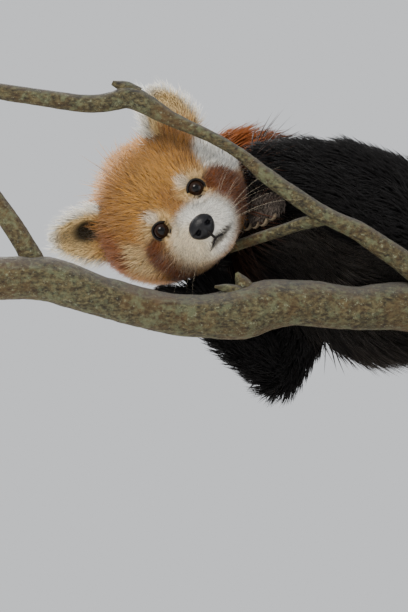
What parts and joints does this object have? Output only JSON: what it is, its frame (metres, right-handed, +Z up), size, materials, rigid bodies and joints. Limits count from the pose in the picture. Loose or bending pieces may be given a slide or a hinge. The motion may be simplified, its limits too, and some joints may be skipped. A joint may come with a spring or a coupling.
{
  "type": "red panda display model",
  "caption": "Life-size still model of a red panda resting along a cut forked bough, head turned and laid on its side, held by a plain board and rods.",
  "frame": {"origin": "middle of the underside of the display board, on the surface that it stands on", "axes": "+Z up, +X along the bough from the animal's head to its tail, -Y towards the viewer whom the face looks at"},
  "size_m": [0.7717, 0.3, 0.5571],
  "materials": {
    "fur_red": "dense reddish brown coat of the back and flanks",
    "fur_black": "soft black coat of the legs, chest and belly",
    "fur_face": "short golden to rusty face coat with white muzzle, cheeks and brows",
    "fur_cream": "cream white ear hair",
    "fur_tail": "bushy coat in rusty and buff rings",
    "nose_skin": "moist pebbled dark skin",
    "eye_dark": "dark brown glassy eye",
    "bark": "grey green bark with lichen",
    "board": "satin dark timber",
    "steel": "brushed round rod"
  },
  "bodies": {
    "root": {"head": "fur_face", "nose": "nose_skin", "eye_left": "eye_dark", "eye_right": "eye_dark", "ear_left": "fur_cream", "ear_right": "fur_cream", "neck": "fur_red", "torso": "fur_red", "foreleg_left": "fur_black", "foreleg_right": "fur_black", "hindleg_left": "fur_black", "hindleg_right": "fur_black", "paw_fore_left": "fur_black", "paw_fore_right": "fur_black", "paw_hind_left": "fur_black", "paw_hind_right": "fur_black", "tail_base": "fur_tail", "tail_middle": "fur_tail", "tail_tip": "fur_tail", "perch_limb": "bark", "perch_branch": "bark", "perch_twig": "bark", "stand_base": "board", "stand_rod_1": "steel", "stand_rod_2": "steel"}
  },
  "joints": []
}
